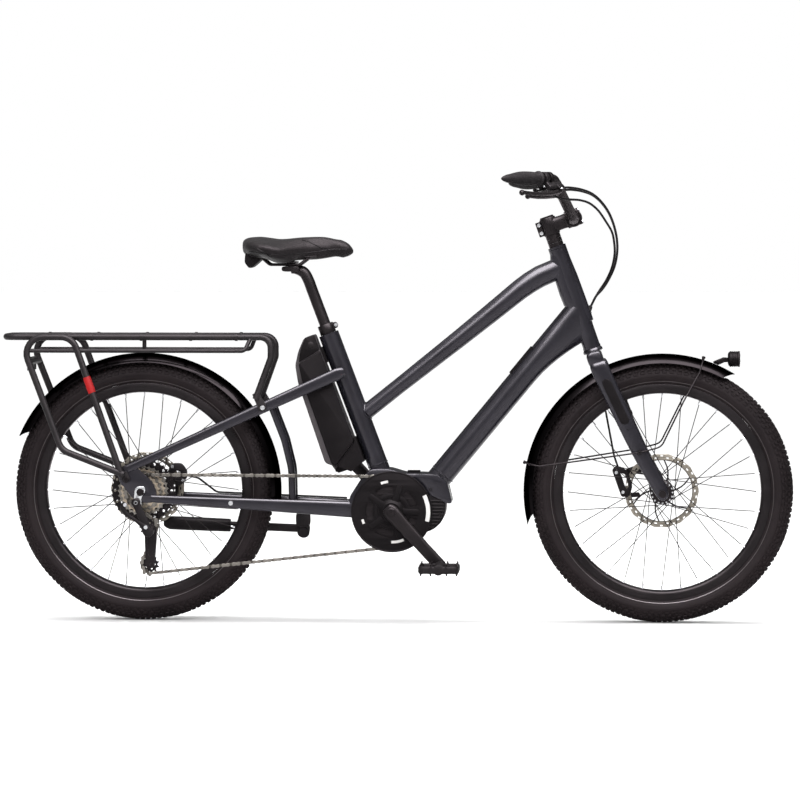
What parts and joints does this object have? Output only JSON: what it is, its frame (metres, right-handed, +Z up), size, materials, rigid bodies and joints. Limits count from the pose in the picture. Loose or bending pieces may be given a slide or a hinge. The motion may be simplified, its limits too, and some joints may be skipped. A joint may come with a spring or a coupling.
{
  "type": "cargo bicycle",
  "caption": "Electric cargo bicycle with a mid motor, step-through frame, small wheels, fenders and a long rear rack; wheels, cranks, steering, levers and kickstand move.",
  "frame": {"origin": "on the ground, at the middle of the length and width", "axes": "+X forward, +Y to the rider's left, +Z up"},
  "size_m": [1.9097, 0.681, 1.0841],
  "materials": {
    "paint": "satin",
    "black_metal": "satin",
    "brake_black": "satin black",
    "motor": "satin black",
    "black_plastic": "matte",
    "button": "matte",
    "grip_rubber": "matte",
    "cable": "satin",
    "tyre": "matte",
    "steel": "brushed",
    "sprocket": "brushed",
    "saddle_cover": "matte",
    "band": "matte"
  },
  "bodies": {
    "frame": {"frame": "paint", "headset_cups": "black_metal", "motor_housing": "motor", "motor_covers": "black_plastic", "battery_holder": "black_plastic", "seat_clamp": "black_metal", "rear_fender": "black_metal", "rack": "black_metal", "rack_band": "band", "frame_hardware": "steel", "kickstand_bracket": "black_metal", "rear_caliper": "brake_black", "rear_axle": "steel", "derailleur_body": "black_metal", "chain": "steel"},
    "steering": {"fork": "paint", "stem": "black_metal", "stem_hardware": "steel", "handlebar": "black_metal", "grips": "grip_rubber", "brake_bodies": "brake_black", "shifter_body": "black_plastic", "remote_body": "black_plastic", "front_fender": "black_metal", "fender_stays": "black_metal", "front_caliper": "brake_black", "front_axle": "steel", "control_cables": "cable"},
    "front_wheel": {"front_tyre": "tyre", "front_rim": "black_metal", "front_spokes": "steel", "front_hub": "black_metal", "front_rotor": "steel"},
    "rear_wheel": {"rear_tyre": "tyre", "rear_rim": "black_metal", "rear_spokes": "steel", "rear_hub": "black_metal", "rear_rotor": "steel"},
    "cassette": {"cassette": "sprocket"},
    "crank": {"chainring": "black_plastic", "crank_arms": "black_metal"},
    "pedal_right": {"pedal_right": "black_plastic"},
    "pedal_left": {"pedal_left": "black_plastic"},
    "derailleur_cage": {"derailleur_cage": "black_metal"},
    "guide_pulley": {"guide_pulley": "black_plastic"},
    "tension_pulley": {"tension_pulley": "black_plastic"},
    "battery": {"battery_case": "black_plastic"},
    "seat": {"seatpost": "black_metal", "saddle": "saddle_cover", "saddle_rails": "black_metal"},
    "brake_lever_right": {"brake_lever_right": "brake_black"},
    "brake_lever_left": {"brake_lever_left": "brake_black"},
    "shift_lever": {"shift_lever": "black_plastic"},
    "release_lever": {"release_lever": "black_plastic"},
    "button_up": {"button_up": "button"},
    "button_down": {"button_down": "button"},
    "headlamp": {"headlamp": "black_plastic"},
    "kickstand": {"kickstand_leg": "black_metal"},
    "kickstand_foot": {"kickstand_foot": "black_plastic"}
  },
  "joints": [
    {"name": "steering", "type": "hinge", "parent": "frame", "child": "steering", "pos_m": [0.59678, 0, 0.30063], "axis": [-0.3305, 0, 0.9438], "range_deg": [-60, 60], "deforming": ["control_cables"]},
    {"name": "front_wheel_spin", "type": "hinge", "parent": "steering", "child": "front_wheel", "pos_m": [0.63925, 0, 0.3155], "axis": [0, 1, 0], "continuous": true},
    {"name": "rear_wheel_spin", "type": "hinge", "parent": "frame", "child": "rear_wheel", "pos_m": [-0.61575, 0, 0.3155], "axis": [0, 1, 0], "continuous": true},
    {"name": "crank_spin", "type": "hinge", "parent": "frame", "child": "crank", "pos_m": [-0.01075, 0, 0.2685], "axis": [0, 1, 0], "continuous": true},
    {"name": "cassette_spin", "type": "hinge", "parent": "frame", "child": "cassette", "pos_m": [-0.61575, 0, 0.3155], "axis": [0, 1, 0], "continuous": true},
    {"name": "pedal_right_spin", "type": "hinge", "parent": "crank", "child": "pedal_right", "pos_m": [0.10748, -0.139, 0.13948], "axis": [0, 1, 0], "continuous": true},
    {"name": "pedal_left_spin", "type": "hinge", "parent": "crank", "child": "pedal_left", "pos_m": [-0.12898, 0.139, 0.39752], "axis": [0, 1, 0], "continuous": true},
    {"name": "cage_swing", "type": "hinge", "parent": "frame", "child": "derailleur_cage", "pos_m": [-0.59475, -0.0575, 0.2215], "axis": [0, 1, 0], "range_deg": [-12, 20], "stiffness_Nm_per_rad": 2, "deforming": ["chain"]},
    {"name": "guide_pulley_spin", "type": "hinge", "parent": "derailleur_cage", "child": "guide_pulley", "pos_m": [-0.60075, -0.05, 0.2285], "axis": [0, 1, 0], "continuous": true},
    {"name": "tension_pulley_spin", "type": "hinge", "parent": "derailleur_cage", "child": "tension_pulley", "pos_m": [-0.59675, -0.05, 0.1385], "axis": [0, 1, 0], "continuous": true},
    {"name": "battery_tilt", "type": "hinge", "parent": "frame", "child": "battery", "pos_m": [-0.14382, 0, 0.36614], "axis": [0, -1, 0], "range_deg": [0, 10]},
    {"name": "seat_height", "type": "slide", "parent": "frame", "child": "seat", "axis": [-0.3535, 0, 0.9354], "range_m": [-0.06, 0.07]},
    {"name": "brake_lever_right_pull", "type": "hinge", "parent": "steering", "child": "brake_lever_right", "pos_m": [0.39375, -0.20838, 1.03779], "axis": [-0.5882, 0.4833, -0.6484], "range_deg": [0, 8], "stiffness_Nm_per_rad": 1.5, "springref_deg": -4},
    {"name": "brake_lever_left_pull", "type": "hinge", "parent": "steering", "child": "brake_lever_left", "pos_m": [0.39375, 0.20838, 1.03779], "axis": [0.5882, 0.4833, 0.6484], "range_deg": [0, 8], "stiffness_Nm_per_rad": 1.5, "springref_deg": -4},
    {"name": "shift_lever_push", "type": "hinge", "parent": "steering", "child": "shift_lever", "pos_m": [0.35874, -0.19825, 1.04008], "axis": [-0.5116, 0.3986, 0.7612], "range_deg": [0, 10], "stiffness_Nm_per_rad": 0.3, "springref_deg": -4},
    {"name": "release_lever_push", "type": "hinge", "parent": "steering", "child": "release_lever", "pos_m": [0.3436, -0.18645, 1.06261], "axis": [-0.5116, 0.3986, 0.7612], "range_deg": [0, 10], "stiffness_Nm_per_rad": 0.3, "springref_deg": -4},
    {"name": "button_up_press", "type": "slide", "parent": "steering", "child": "button_up", "axis": [0.5882, 0.4833, 0.6484], "range_m": [0, 0.001], "stiffness_N_per_m": 2000, "springref_m": -0.001},
    {"name": "button_down_press", "type": "slide", "parent": "steering", "child": "button_down", "axis": [0.5882, 0.4833, 0.6484], "range_m": [0, 0.001], "stiffness_N_per_m": 2000, "springref_m": -0.001},
    {"name": "headlamp_tilt", "type": "hinge", "parent": "steering", "child": "headlamp", "pos_m": [0.7861, 0, 0.63462], "axis": [0, 1, 0], "range_deg": [-12, 12]},
    {"name": "kickstand_fold", "type": "hinge", "parent": "frame", "child": "kickstand", "pos_m": [-0.23375, 0.071, 0.2145], "axis": [0, -0.9063, -0.4226], "range_deg": [0, 105]},
    {"name": "kickstand_length", "type": "slide", "parent": "kickstand", "child": "kickstand_foot", "axis": [0.999, 0.0184, -0.0395], "range_m": [0, 0.07]}
  ],
  "couplings": [
    {"joint": "cassette_spin", "follows": "crank_spin", "ratio": 2.125},
    {"joint": "guide_pulley_spin", "follows": "crank_spin", "ratio": -3.8636},
    {"joint": "tension_pulley_spin", "follows": "crank_spin", "ratio": 3.8636}
  ]
}
